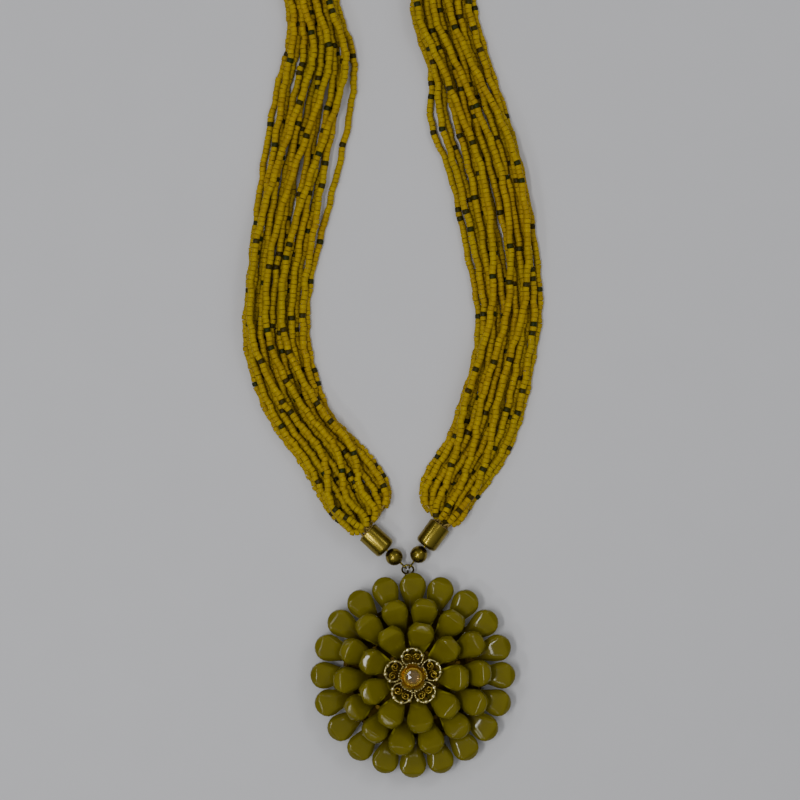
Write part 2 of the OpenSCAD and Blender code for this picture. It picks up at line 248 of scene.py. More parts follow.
def bezier(knots, t):
    a, b, c, d = knots
    s = 1 - t
    return a * s ** 3 + b * 3 * s * s * t + c * 3 * s * t * t + d * t ** 3


def into_mouth(path, side, number, count):
    """Points from a string's end to its place in the mouth of a cord end, in millimetres."""
    mouth = on_line(side, MOUTH_AT)
    along = (mouth.to_3x3() @ UP).normalized()
    spread = KNOT_SPREAD * math.sqrt((number + 0.5) / count)
    root = mouth @ Vector((*polar(spread, KNOT_TURN * number), 0.05))
    first, second = path[0], path[BEAD_POINTS]
    reach = (first - root).length / 3
    knots = [first, first + (first - second).normalized() * reach, root + along * reach, root]
    steps = max(8, round(3 * reach / TAIL_STEP))
    return [bezier(knots, k / steps) for k in range(steps + 1)]


def crowd(tails, paths, side):
    """How many points of each tail have room for beads, the strings taking turns."""
    mouth = on_line(side, MOUTH_AT).inverted()
    taken = [list(path[:END_POINTS]) for path in paths]
    filled = [0] * len(tails)
    waiting = set(range(len(tails)))
    while waiting:
        for k in sorted(waiting):
            step = filled[k] + BEAD_POINTS
            fits = step < len(tails[k]) and (mouth @ tails[k][step]).z > BARE
            if fits:
                p = tails[k][step]
                others = (q for j, points in enumerate(taken) if j != k for q in points)
                fits = all((p - q).length > CLOSEST for q in others)
            if fits:
                taken[k] += tails[k][filled[k] + 1:step + 1]
                filled[k] = step
            else:
                waiting.discard(k)
    return filled


def lay_strings(points=700):
    """Each string's node, bead path and bare thread ends, in millimetres."""
    strings = list(all_strings())
    paths = [string_path(layer, i, points) for _, layer, i in strings]
    bare = {}
    for side in LINES:
        ends = paths if side == "left" else [path[::-1] for path in paths]
        tails = [into_mouth(path, side, k, len(paths)) for k, path in enumerate(ends)]
        filled = crowd(tails, ends, side)
        paths = [tail[:n + 1][:0:-1] + path for tail, n, path in zip(tails, filled, ends)]
        bare[side] = [tail[max(0, n - 1):] for tail, n in zip(tails, filled)]
        if side == "right":
            paths = [path[::-1] for path in paths]
    return [name for name, _, _ in strings], paths, bare


class Wire:
    """An output socket of a node tree, with Python's operators as its Math nodes."""

    def __init__(self, graph, socket):
        self.graph, self.socket = graph, socket

    def math(self, operation, *values):
        return self.graph.node("ShaderNodeMath", {"operation": operation}, dict(enumerate(values)))

    def size(self):
        return self.math("ABSOLUTE", self)

    def __add__(self, other):
        return self.math("ADD", self, other)

    def __radd__(self, other):
        return self.math("ADD", other, self)

    def __sub__(self, other):
        return self.math("SUBTRACT", self, other)

    def __rsub__(self, other):
        return self.math("SUBTRACT", other, self)

    def __mul__(self, other):
        return self.math("MULTIPLY", self, other)

    def __rmul__(self, other):
        return self.math("MULTIPLY", other, self)

    def __truediv__(self, other):
        return self.math("DIVIDE", self, other)

    def __rtruediv__(self, other):
        return self.math("DIVIDE", other, self)

    def floor(self):
        return self.math("FLOOR", self)

    def equals(self, other):
        return self.math("COMPARE", self, other, 0.5)

    def below(self, other):
        return self.math("LESS_THAN", self, other)

    def most(self, other):
        return self.math("MAXIMUM", self, other)

    def power(self, other):
        return self.math("POWER", self, other)

    def clamped(self):
        return self.math("MINIMUM", self.math("MAXIMUM", self, 0.0), 1.0)


class Graph:
    """Adds nodes to a shader or geometry tree."""

    def __init__(self, tree):
        self.tree = tree

    def node(self, kind, settings=None, values=None, output=0):
        """Makes a node, sets its settings, then gives its sockets values or links.

        Returns the output that is named, or a list of outputs for a tuple of names.
        """
        node = self.tree.nodes.new(kind)
        for name, value in (settings or {}).items():
            setattr(node, name, value)
        for name, value in (values or {}).items():
            self.give(self.find(node.inputs, name), value)
        if isinstance(output, tuple):
            return [Wire(self, self.find(node.outputs, name)) for name in output]
        return Wire(self, self.find(node.outputs, output))

    @staticmethod
    def find(sockets, name):
        shown = [s for s in sockets if s.enabled]
        if isinstance(name, int):
            return shown[name]
        return next(s for s in shown if s.name == name)

    def give(self, socket, value):
        if isinstance(value, Wire):
            self.tree.links.new(value.socket, socket)
        else:
            socket.default_value = value

    def mix(self, factor, a, b):
        """Colour a where the factor is 0 and b where it is 1."""
        values = {"Factor": factor, "A": colour4(a), "B": colour4(b)}
        return self.node("ShaderNodeMix", {"data_type": "RGBA"}, values, output="Result")

    def noise(self, scale, detail=2.0, stretch=(1, 1, 1)):
        """Fine noise in the object's own coordinates, for marks of about 1 / scale metres."""
        place = self.node("ShaderNodeTexCoord", output="Object")
        if stretch != (1, 1, 1):
            place = self.node("ShaderNodeMapping", None, {"Vector": place, "Scale": stretch})
        values = {"Vector": place, "Scale": scale, "Detail": detail}
        return self.node("ShaderNodeTexNoise", None, values)

    def upright(self):
        """How far the surface faces straight up or down, 0 on a wall and 1 on a level place."""
        normal = self.node("ShaderNodeNewGeometry", output="Normal")
        return self.node("ShaderNodeSeparateXYZ", None, {0: normal}, output="Z").size()

    def attribute(self, name):
        return self.node("ShaderNodeAttribute", {"attribute_name": name}, output="Fac")

    def bump(self, height, strength, depth):
        values = {"Height": height, "Strength": strength, "Distance": depth}
        return self.node("ShaderNodeBump", None, values)


def colour4(value):
    return value if isinstance(value, Wire) else (*value[:3], 1.0)


def finish(name, build, **fixed):
    """A material: build(graph) gives its varying inputs, and its fixed ones are given by name."""
    material = bpy.data.materials.new(name)
    material.use_nodes = True
    tree = material.node_tree
    shader = next(n for n in tree.nodes if n.type == "BSDF_PRINCIPLED")
    graph = Graph(tree)
    for key, value in fixed.items():
        shader.inputs[key.replace("_", " ")].default_value = value
    for key, value in build(graph).items():
        graph.give(shader.inputs[key], value)
    return material


def bead_finish(props):
    """Opaque yellow glass seed beads, some of them dark green or brown."""

    def build(g):
        tone = g.attribute("tone")
        shade = g.mix(tone, props.deep_colour, props.light_colour)
        drift = (g.noise(55, 2) * 3 - 1.1).clamped()
        shade = g.mix(drift * 0.55, shade, props.olive_colour)
        smudge = g.noise(700, 3)
        shade = g.mix(smudge * 0.4, shade, props.deep_colour)
        dark = g.mix(tone, props.accent_colour, props.accent_brown)
        colour = g.mix(g.attribute("accent"), shade, dark)
        return {
            "Base Color": colour,
            "Roughness": 0.38 + smudge * 0.16,
            "Normal": g.bump(g.noise(5200, 2), 0.25, 0.00004),
        }

    return finish(
        "seed_bead_glass", build, Coat_Weight=0.02, Coat_Roughness=0.15, Specular_IOR_Level=0.13
    )


def drop_finish(props):
    """Olive moulded drops: polished facets, a slightly cloudy body, and painted brown shade with
    painted yellow-green glints on the necks.
    """

    def build(g):
        cloud = g.noise(160, 3)
        speck = g.noise(1900, 2)
        neck = g.attribute("neck")
        tone = (cloud * 1.6 - 0.35).clamped()
        colour = g.mix(tone, props.deep_colour, props.light_colour)
        colour = g.mix(speck * 0.4, colour, props.deep_colour)
        # Painted shade: the necks turn brown towards the pendant's middle, where the drops shade
        # each other
        colour = g.mix((neck * 1.05).clamped(), colour, props.neck_shade_colour)
        # Painted highlights: yellow-green glints on the steep walls of the shaded necks
        wall = (2.6 - g.upright() * 4).clamped() * (neck * 6 - 0.4).clamped()
        glint = ((g.noise(300, 1) - 0.52) * 12).clamped() * wall
        colour = g.mix(glint, colour, props.painted_glint_colour)
        return {
            "Base Color": colour,
            "Roughness": 0.08 + speck * 0.07,
            "Normal": g.bump(g.noise(420, 2), 0.14, 0.00006),
        }

    return finish("olive_drop", build, Specular_IOR_Level=0.26)


def gold_finish(name, colour, shadow, rough, wear, depth):
    """Gold-plated metal, darker where it is worn, with fine polishing marks."""

    def build(g):
        worn = (g.noise(330, 4) * 1.7 - 0.45).clamped()
        marks = g.noise(2600, 3)
        return {
            "Base Color": g.mix(worn * wear, colour, shadow),
            "Roughness": rough + worn * 0.12 + marks * 0.06,
            "Normal": g.bump(marks, 0.3, depth),
        }

    return finish(name, build, Metallic=1.0)


def thread_finish(props):
    """Twisted waxed thread."""

    def build(g):
        fibre = g.noise(5200, 2, (1, 0.25, 1))
        return {
            "Base Color": g.mix(fibre, props.thread_colour, (0.2, 0.14, 0.03)),
            "Roughness": 0.7 + fibre * 0.2,
            "Normal": g.bump(fibre, 0.6, 0.0001),
        }

    return finish("waxed_thread", build)


def stone_finish():
    """Clear cut glass with a faint warm cloud, through which the gold seat shows."""

    def build(g):
        cloud = g.noise(700, 2)
        return {
            "Base Color": g.mix(cloud, (0.86, 0.68, 0.3), (0.6, 0.4, 0.08)),
            "Roughness": 0.01 + cloud * 0.03,
        }

    return finish("clear_stone", build, Transmission_Weight=0.9, IOR=1.6)


def floor_finish(props):
    """Plain pale surface with a barely visible tooth."""

    def build(g):
        tooth = g.noise(60, 3)
        return {
            "Base Color": g.mix(tooth, props.floor_colour, [c * 0.97 for c in props.floor_colour]),
            "Roughness": 0.62 + tooth * 0.1,
        }

    return finish("pale_floor", build, Specular_IOR_Level=0.25)


def link(name, mesh):
    obj = bpy.data.objects.new(name, mesh)
    bpy.context.scene.collection.objects.link(obj)
    return obj


def mesh_piece(name, points, faces, material, edges=(), soft=True):
    """A mesh object made of points in millimetres."""
    mesh = bpy.data.meshes.new(name)
    mesh.from_pydata([Vector(p) * MM for p in points], list(edges), faces)
    mesh.validate()
    if material:
        mesh.materials.append(material)
    if soft:
        mesh.shade_smooth()
    return link(name, mesh)


def ready(piece, slot, *nodes):
    """Ties a finished piece to the frame."""
    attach(piece, BODY)
    if nodes:
        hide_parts(*nodes)


def dress(material, *nodes):
    """Gives CAD nodes that keep their shape a material."""
    for slot in (slot for node in nodes for slot in NODES[node].material_slots):
        slot.material = material


def lathe(name, profile, matrix, material, segments):
    """A closed profile of points (radius, height) in millimetres, turned round Z, then placed."""
    points, faces = [], []
    n = len(profile)
    for k in range(segments):
        turn = 2 * math.pi * k / segments
        points += [matrix @ Vector((*polar(r, turn), z)) for r, z in profile]
        here, there = k * n, (k + 1) % segments * n
        for j in range(n):
            after = (j + 1) % n
            faces.append((here + j, there + j, there + after, here + after))
    piece = mesh_piece(name, points, faces, material)
    face_out(piece.data)
    return piece


def face_out(mesh):
    """Turns every face of a closed mesh outwards."""
    bm = bmesh.new()
    bm.from_mesh(mesh)
    bmesh.ops.recalc_face_normals(bm, faces=bm.faces)
    bm.to_mesh(mesh)
    bm.free()


def arc_points(cx, cz, radius, start, end, steps):
    """Profile points on an arc, angles in degrees from the radius axis."""
    turns = (math.radians(start + (end - start) * k / steps) for k in range(steps + 1))
    return [(cx + x, cz + z) for x, z in (polar(radius, turn) for turn in turns)]


def softened_copy(node, name, material, crease, weld=0.002, flat=0.8, least=8):
    """A merged copy of a faceted CAD node, its edges rounded off by subdivision.

    Points closer than weld millimetres are merged, edges flatter than flat degrees go, and those
    sharper than least degrees are creased.
    """
    bm = bmesh.new()
    bm.from_mesh(NODES[node].data)
    bmesh.ops.remove_doubles(bm, verts=bm.verts, dist=weld * MM)
    bmesh.ops.dissolve_limit(bm, angle_limit=math.radians(flat), verts=bm.verts, edges=bm.edges)
    creases = bm.edges.layers.float.new("crease_edge")
    for edge in bm.edges:
        if len(edge.link_faces) == 2 and edge.calc_face_angle() > math.radians(least):
            edge[creases] = crease
    mesh = bpy.data.meshes.new(name)
    bm.to_mesh(mesh)
    bm.free()
    mesh.materials.clear()
    mesh.materials.append(material)
    mesh.shade_smooth()
    piece = link(name, mesh)
    rounding = piece.modifiers.new("rounding", "SUBSURF")
    rounding.levels = rounding.render_levels = 2
    return piece


def tube_mesh(paths, radius, sides):
    """Round tubes with closed ends along paths in millimetres: points and faces."""
    points, faces = [], []
    for path in paths:
        base, last = len(points), len(path) - 1
        for k, p in enumerate(path):
            ahead = (path[min(k + 1, last)] - path[max(k - 1, 0)]).normalized()
            side = ahead.cross(UP)
            side = side.normalized() if side.length > 1e-6 else Vector((1, 0, 0))
            top = side.cross(ahead)
            for j in range(sides):
                a = 2 * math.pi * j / sides
                points.append(p + radius * (math.cos(a) * side + math.sin(a) * top))
        for k in range(last):
            for j in range(sides):
                a, b = base + k * sides + j, base + k * sides + (j + 1) % sides
                faces.append((a, a + sides, b + sides, b))
        end = base + last * sides
        faces += [range(base, base + sides), range(end, end + sides)[::-1]]
    return points, faces


def new_tree(name, inputs):
    """A geometry tree with named inputs, and the wires of those inputs."""
    tree = bpy.data.node_groups.new(name, "GeometryNodeTree")
    for label, kind in inputs.items():
        tree.interface.new_socket(label, in_out="INPUT", socket_type="NodeSocket" + kind)
    tree.interface.new_socket("Geometry", in_out="OUTPUT", socket_type="NodeSocketGeometry")
    graph = Graph(tree)
    wires = graph.node("NodeGroupInput", output=tuple(inputs))
    return tree, graph, dict(zip(inputs, wires))


def end_tree(graph, geometry, material):
    """Ends a tree with real geometry in one material."""
    real = graph.node("GeometryNodeRealizeInstances", None, {"Geometry": geometry})
    dressed = graph.node("GeometryNodeSetMaterial", None, {"Geometry": real, "Material": material})
    graph.node("NodeGroupOutput", None, {"Geometry": dressed}, output=())


def random_float(g, low, high, seed, number=None):
    values = {"Min": low, "Max": high, "Seed": seed}
    if number is not None:
        values["ID"] = number
    return g.node("FunctionNodeRandomValue", {"data_type": "FLOAT"}, values)


def along_tree(name, coloured):
    """Small pieces strung along a path: seed beads on a thread, or grains on a wire.

    Where they are coloured, each one has a tone, and now and then one or two of them are dark.
    """
    inputs = {
        "Path": "Geometry", "Piece": "Object", "Pitch": "Float", "Size spread": "Float",
        "Length spread": "Float", "Lean": "Float", "Seed": "Int", "Material": "Material",
    }
    if coloured:
        inputs["Accent every"] = "Int"
    tree, g, wire = new_tree(name, inputs)
    curve = g.node("GeometryNodeMeshToCurve", None, {"Mesh": wire["Path"]})
    even = g.node(
        "GeometryNodeResampleCurve", {"mode": "LENGTH"}, {"Curve": curve, "Length": wire["Pitch"]}
    )
    points, turn = g.node(
        "GeometryNodeCurveToPoints", {"mode": "EVALUATED"}, {"Curve": even},
        output=("Points", "Rotation"),
    )
    lean, seed = wire["Lean"], wire["Seed"]
    wobble = g.node("ShaderNodeCombineXYZ", None, {
        0: random_float(g, -1.0, 1.0, seed + 11) * lean,
        1: random_float(g, -1.0, 1.0, seed + 12) * lean,
        2: random_float(g, 0.0, 2 * math.pi, seed + 13),
    })
    spin = g.node("FunctionNodeEulerToRotation", None, {0: wobble})
    turned = g.node(
        "FunctionNodeRotateRotation", {"rotation_space": "LOCAL"},
        {"Rotation": turn, "Rotate By": spin},
    )
    width = 1.0 - random_float(g, 0.0, 1.0, seed + 14) * wire["Size spread"]
    depth = 1.0 - random_float(g, 0.0, 1.0, seed + 15) * wire["Length spread"]
    size = g.node("ShaderNodeCombineXYZ", None, {0: width, 1: width, 2: depth})
    shape = g.node("GeometryNodeObjectInfo", None, {"Object": wire["Piece"]}, output="Geometry")
    strung = g.node("GeometryNodeInstanceOnPoints", None, {
        "Points": points, "Instance": shape, "Rotation": turned, "Scale": size,
    })
    if coloured:
        strung = store(g, strung, "tone", random_float(g, 0.0, 1.0, seed + 16))
        index, every = g.node("GeometryNodeInputIndex"), wire["Accent every"]
        group = (index / every).floor()
        place = index - group * every
        first = (random_float(g, 0.0, 1.0, seed + 17, group) * every).floor()
        second = first + 2.0 + random_float(g, 0.0, 3.9, seed + 19, group).floor()
        paired = random_float(g, 0.0, 1.0, seed + 18, group).below(0.3)
        dark = place.equals(first).most(place.equals(second) * paired)
        strung = store(g, strung, "accent", dark)
    end_tree(g, strung, wire["Material"])
    return tree


def store(g, geometry, name, value):
    """Keeps a value with each strung piece."""
    return g.node(
        "GeometryNodeStoreNamedAttribute",
        {"data_type": "FLOAT", "domain": "INSTANCE"},
        {"Geometry": geometry, "Name": name, "Value": value},
    )


def grow(carrier, tree, values, name):
    """Runs a tree on a path and returns the result as a plain mesh object."""
    modifier = carrier.modifiers.new("along", "NODES")
    modifier.node_group = tree
    for item in tree.interface.items_tree:
        if item.item_type == "SOCKET" and item.in_out == "INPUT" and item.name in values:
            modifier[item.identifier] = values[item.name]
    bpy.context.view_layer.update()
    seen = carrier.evaluated_get(bpy.context.evaluated_depsgraph_get())
    mesh = bpy.data.meshes.new_from_object(seen)
    mesh.name = name
    carrier.modifiers.remove(modifier)
    bpy.data.objects.remove(carrier)
    return link(name, mesh)


def path_object(paths, closed=False):
    """Open or closed lines in millimetres, for a tree to follow."""
    points, edges = [], []
    for path in paths:
        base = len(points)
        points += path
        edges += [(base + k, base + k + 1) for k in range(len(path) - 1)]
        if closed:
            edges.append((base + len(path) - 1, base))
    return mesh_piece("path", points, [], None, edges, soft=False)


def seed_bead(radius, half, hole):
    """One drilled seed bead along Z, with rounded shoulders and slightly dished ends."""
    dish, shoulder, side = 0.9 * half, 0.93 * radius, 0.7 * half
    profile = [
        (hole, -dish), (shoulder, -half), (radius, -side),
        (radius, side), (shoulder, half), (hole, dish),
    ]
    return lathe("bead_form", profile, Matrix.Identity(4), None, segments=9)


def grain(radius):
    """One gold grain."""
    bm = bmesh.new()
    bmesh.ops.create_icosphere(bm, subdivisions=2, radius=radius * MM)
    mesh = bpy.data.meshes.new("grain_form")
    bm.to_mesh(mesh)
    bm.free()
    mesh.shade_smooth()
    return link("grain_form", mesh)


def cut_stone(material):
    """A round stone: a small table, two rows of crown facets, a girdle and a cut back."""
    n = STONE_SIDES
    turns = [2 * math.pi * (k + 0.5) / n for k in range(n)]
    points = [(*polar(r, turn), STONE_Z + z) for r, z in STONE_ROWS for turn in turns]
    faces = []
    for row in range(0, len(points) - n, n):
        for k in range(n):
            a, b = row + k, row + (k + 1) % n
            faces.append((a, a + n, b + n, b))
    faces += [range(n), range(len(points) - n, len(points))[::-1]]
    stone = mesh_piece("cut_stone", points, faces, material, soft=False)
    face_out(stone.data)
    return stone


def petal_place(k):
    """Puts a piece in the plane of a petal's rim, +X outwards, in millimetres."""
    return (
        Matrix.Rotation(math.radians(PETAL_TURN - 360 * k / PETALS), 4, "Z")
        @ Matrix.Translation((PETAL_AT, 0, HUB_Z + PETAL_R * math.sin(math.radians(PETAL_TILT))))
        @ Matrix.Rotation(math.radians(-PETAL_TILT), 4, "Y")
    )


def leaf_place(k):
    """Puts a piece level with the cup's rim, +X through one of its leaves, in millimetres."""
    turn = math.radians(PETAL_TURN + 360 * k / PETALS)
    return Matrix.Rotation(turn, 4, "Z") @ Matrix.Translation((0, 0, CUP_TOP))


def arcs(places, start, end, radius, lift, steps=24):
    """The same arc in every place, angles in degrees from its outer end."""
    turns = [math.radians(start + (end - start) * j / steps) for j in range(steps + 1)]
    return [[place @ Vector((*polar(radius, turn), lift)) for turn in turns] for place in places]


def scroll(side, steps=30):
    """A volute that fills one side of a petal, from its wide end to its eye."""
    eye_x, eye_y, lift = 0.1, side * 1.42, 0.02
    points = []
    for k in range(steps + 1):
        f = k / steps
        x, y = polar(1.28 - 0.95 * f, side * math.radians(-150 + 520 * f))
        points.append(Vector((eye_x + x, eye_y + y, lift)))
    return points


class BeadStringSettings(bpy.types.PropertyGroup):
    """Sizes and colours of the strings of seed beads."""

    bead_diameter: FloatProperty(
        name="Bead diameter", description="Width of a seed bead", default=0.0021, unit="LENGTH"
    )
    pitch: FloatProperty(
        name="Pitch", description="Distance from bead to bead", default=0.00136, unit="LENGTH"
    )
    hole: FloatProperty(
        name="Hole", description="Diameter of a bead's hole", default=0.0007, unit="LENGTH"
    )
    size_spread: FloatProperty(
        name="Size spread", description="How much narrower the smallest beads are",
        default=0.05, subtype="FACTOR",
    )
    length_spread: FloatProperty(
        name="Length spread", description="How much shorter the shortest beads are",
        default=0.05, subtype="FACTOR",
    )
    lean: FloatProperty(
        name="Lean", description="Most that a bead leans on its thread",
        default=0.07, subtype="ANGLE",
    )
    accent_every: IntProperty(
        name="Accent every", description="Beads for each dark one, or pair", default=21
    )
    light_colour: FloatVectorProperty(
        name="Light colour", description="Lightest yellow",
        default=(0.5, 0.335, 0.002), subtype="COLOR",
    )
    deep_colour: FloatVectorProperty(
        name="Deep colour", description="Deepest yellow",
        default=(0.35, 0.215, 0.001), subtype="COLOR",
    )
    olive_colour: FloatVectorProperty(
        name="Olive colour", description="Greener yellow of some stretches",
        default=(0.38, 0.305, 0.002), subtype="COLOR",
    )
    accent_colour: FloatVectorProperty(
        name="Accent colour", description="Dark green beads",
        default=(0.02, 0.03, 0.003), subtype="COLOR",
    )
    accent_brown: FloatVectorProperty(
        name="Accent brown", description="Brown that some dark beads tend to",
        default=(0.05, 0.032, 0.001), subtype="COLOR",
    )
    thread_colour: FloatVectorProperty(
        name="Thread colour", description="Thread of the strings",
        default=(0.5, 0.36, 0.08), subtype="COLOR",
    )
    thread_diameter: FloatProperty(
        name="Thread diameter", description="Width of the thread", default=0.0005, unit="LENGTH"
    )


class DropSettings(bpy.types.PropertyGroup):
    """Edges and colours of the faceted drops."""

    crease: FloatProperty(
        name="Crease", description="How sharp the facets' edges stay",
        default=0.62, subtype="FACTOR",
    )
    light_colour: FloatVectorProperty(
        name="Light colour", description="Lightest olive",
        default=(0.185, 0.16, 0.001), subtype="COLOR",
    )
    deep_colour: FloatVectorProperty(
        name="Deep colour", description="Deepest olive",
        default=(0.13, 0.108, 0.001), subtype="COLOR",
    )
    # Painted shade of the necks, deepest between the drops
    neck_shade_colour: FloatVectorProperty(
        name="Neck colour", description="Brown of the narrow ends, deep between the drops",
        default=(0.055, 0.036, 0.001), subtype="COLOR",
    )
    # Painted highlight: glints on the necks
    painted_glint_colour: FloatVectorProperty(
        name="Glint colour", description="Yellow-green flecks of the narrow ends",
        default=(0.42, 0.38, 0.01), subtype="COLOR",
    )


class GoldSettings(bpy.types.PropertyGroup):
    """Colours of the metal and sizes of the flower's grains."""

    fitting_colour: FloatVectorProperty(
        name="Fitting colour", description="Cord ends, round beads, pins and ring",
        default=(0.3, 0.23, 0.032), subtype="COLOR",
    )
    fitting_shadow: FloatVectorProperty(
        name="Fitting shadow", description="Worn parts of the fittings",
        default=(0.1, 0.075, 0.01), subtype="COLOR",
    )
    flower_colour: FloatVectorProperty(
        name="Flower colour", description="Bright gold of the flower",
        default=(0.84, 0.78, 0.42), subtype="COLOR",
    )
    cup_colour: FloatVectorProperty(
        name="Cup colour", description="Amber gold of the stone cup",
        default=(0.54, 0.41, 0.06), subtype="COLOR",
    )
    base_colour: FloatVectorProperty(
        name="Base colour", description="Dull gold of the pendant's back",
        default=(0.12, 0.075, 0.01), subtype="COLOR",
    )
    rim_grain_diameter: FloatProperty(
        name="Rim grain diameter", description="Width of the grains round a petal's end",
        default=0.0016, unit="LENGTH",
    )
    grain_diameter: FloatProperty(
        name="Grain diameter", description="Width of the grains along a petal's sides",
        default=0.0006, unit="LENGTH",
    )
    scroll_wire: FloatProperty(
        name="Scroll wire", description="Width of the wire of the petals' scrolls",
        default=0.0004, unit="LENGTH",
    )


class StageSettings(bpy.types.PropertyGroup):
    """Floor, light and camera."""

    floor_colour: FloatVectorProperty(
        name="Floor colour", description="Pale surface under the necklace",
        default=(0.68, 0.68, 0.7), subtype="COLOR",
    )
    camera_height: FloatProperty(
        name="Camera height", description="Height of the camera over the floor",
        default=0.9, unit="LENGTH",
    )
    view_width: FloatProperty(
        name="View width", description="Width of the floor that the picture shows",
        default=0.24, unit="LENGTH",
    )
    sky: FloatProperty(name="Sky", description="Strength of the light from above", default=0.45)
    lamps: FloatProperty(name="Lamps", description="Strength of all lamps", default=1.0)
    lamp_distance: FloatProperty(
        name="Lamp distance", description="Distance of the lamps from the pendant",
        default=0.8, unit="LENGTH",
    )


# Lamps: name, direction round from +X, angle off the vertical, width round, width up, watts, and
# whether gloss shows them
LAMPS = (
    ("left", 176, 17, 0.15, 0.06, 0.95, True),
    ("left_low", 207, 19, 0.13, 0.07, 0.62, True),
    ("left_far", 214, 41, 0.12, 0.07, 0.45, True),
    ("low_left", 248, 25, 0.1, 0.05, 0.13, True),
    ("top_small", 73, 13, 0.08, 0.05, 0.07, True),
    ("streak_left", 144, 45, 0.14, 0.08, 0.3, True),
    ("streak_right", 47, 45, 0.14, 0.08, 0.26, True),
    ("key_left", 130, 46, 0.5, 0.5, 0.12, False),
    ("key_right", 35, 46, 0.5, 0.5, 0.8, False),
)


class NECKLACE_OT_stage(bpy.types.Operator):
    """Makes the floor, the lights and the camera"""

    bl_idname = "necklace.stage"
    bl_label = "Stage"

    def execute(self, context):
        props = context.scene.necklace_stage
        self.make_floor(props)
        self.make_camera(context.scene, props)
        self.make_sky(context.scene, props)
        for lamp in LAMPS:
            self.make_lamp(props, *lamp)
        return {"FINISHED"}

    def make_floor(self, props):
        corners = [(-1, -1), (1, -1), (1, 1), (-1, 1)]
        points = [Vector((x * FLOOR_HALF, y * FLOOR_HALF, FLOOR_Z)) for x, y in corners]
        mesh_piece("floor", points, [(0, 1, 2, 3)], floor_finish(props), soft=False)

    def make_camera(self, scene, props):
        camera = bpy.data.cameras.new("camera")
        camera.lens = camera.sensor_width * props.camera_height / props.view_width
        camera.clip_start, camera.clip_end = 0.01, 20
        scene.camera = link("camera", camera)
        scene.camera.location = VIEW_CENTRE * MM + UP * props.camera_height

    def make_sky(self, scene, props):
        scene.world = bpy.data.worlds.new("sky")
        scene.world.use_nodes = True
        tree = scene.world.node_tree
        backdrop = next(n for n in tree.nodes if n.type == "BACKGROUND")
        graph = Graph(tree)
        way = graph.node("ShaderNodeTexCoord", output="Generated")
        height = graph.node("ShaderNodeSeparateXYZ", None, {0: way}, output="Z").clamped()
        colour = graph.mix(height.power(1.4), (0.2, 0.2, 0.21), (0.97, 0.98, 1.0))
        graph.give(backdrop.inputs["Color"], colour)
        graph.give(backdrop.inputs["Strength"], props.sky)

    def make_lamp(self, props, name, turn, off, across, up, watts, seen):
        lamp = bpy.data.lights.new(name, "AREA")
        lamp.shape = "RECTANGLE"
        lamp.size, lamp.size_y = across, up
        lamp.energy = watts * props.lamps
        obj = link(name, lamp)
        obj.visible_glossy = seen
        rise = math.radians(90 - off)
        away = Vector((*polar(math.cos(rise), math.radians(turn)), math.sin(rise)))
        obj.location = LAMP_TARGET * MM + away * props.lamp_distance
        obj.rotation_euler = (-away).to_track_quat("-Z", "Y").to_euler()


class NECKLACE_OT_bead_strings(bpy.types.Operator):
    """Strings the seed beads along the route of every strand"""

    bl_idname = "necklace.bead_strings"
    bl_label = "Bead strings"

    def execute(self, context):
        props = context.scene.necklace_beads
        glass = bead_finish(props)
        half_length = 0.495 * props.pitch / MM
        form = seed_bead(props.bead_diameter / 2 / MM, half_length, props.hole / 2 / MM)
        tree = along_tree("seed_beads", coloured=True)
        nodes, paths, _ = lay_strings()
        for number, (node, path) in enumerate(zip(nodes, paths)):
            values = {
                "Piece": form, "Pitch": props.pitch, "Size spread": props.size_spread,
                "Length spread": props.length_spread, "Lean": props.lean,
                "Accent every": props.accent_every, "Seed": 40 * number, "Material": glass,
            }
            beads = grow(path_object([path]), tree, values, "beads_" + node)
            ready(beads, "yellow_beads", node)
        bpy.data.objects.remove(form)
        return {"FINISHED"}


class NECKLACE_OT_threads(bpy.types.Operator):
    """Makes the bare threads from the first beads into the cord ends"""

    bl_idname = "necklace.threads"
    bl_label = "Threads"

    def execute(self, context):
        props = context.scene.necklace_beads
        yarn = thread_finish(props)
        dress(yarn, "thread_knot_left", "thread_knot_right")
        _, _, bare = lay_strings()
        for side, paths in bare.items():
            points, faces = tube_mesh(paths, props.thread_diameter / 2 / MM, 8)
            threads = mesh_piece("threads_" + side, points, faces, yarn)
            ready(threads, "thread")
        return {"FINISHED"}


class NECKLACE_OT_fittings(bpy.types.Operator):
    """Makes the cord ends and round gold beads, and finishes the pins and the ring"""

    bl_idname = "necklace.fittings"
    bl_label = "Fittings"

    def execute(self, context):
        props = context.scene.necklace_gold
        gold = gold_finish(
            "fitting_gold", props.fitting_colour, props.fitting_shadow,
            rough=0.18, wear=0.6, depth=0.000002,
        )
        rim, dome = RIM_ROUND, END_ROUND
        tube = (
            arc_points(PIN_HOLE_R + rim, rim, rim, 180, 270, 3)
            + arc_points(END_R - dome, dome, dome, -90, 0, 12)
            + arc_points(END_R - rim, END_L - rim, rim, 0, 90, 4)
            + arc_points(BORE_R + rim, END_L - rim, rim, 90, 180, 4)
            + [(BORE_R, END_WALL), (PIN_HOLE_R, END_WALL)]
        )
        low = math.degrees(math.acos(PIN_HOLE_R / ROUND_BEAD_R))
        ball = arc_points(0, 0, ROUND_BEAD_R, -low, low, 32)
        for side in LINES:
            cap = lathe(f"cord_end_{side}_gold", tube, on_line(side, END_AT), gold, 96)
            ready(cap, "gold_fittings", f"cord_end_{side}")
            bead = lathe(f"gold_bead_{side}_gold", ball, on_line(side, BEAD_AT), gold, 64)
            ready(bead, "gold_fittings", f"gold_bead_{side}")
        dress(gold, "eye_pin_left", "eye_pin_right", "centre_ring")
        return {"FINISHED"}


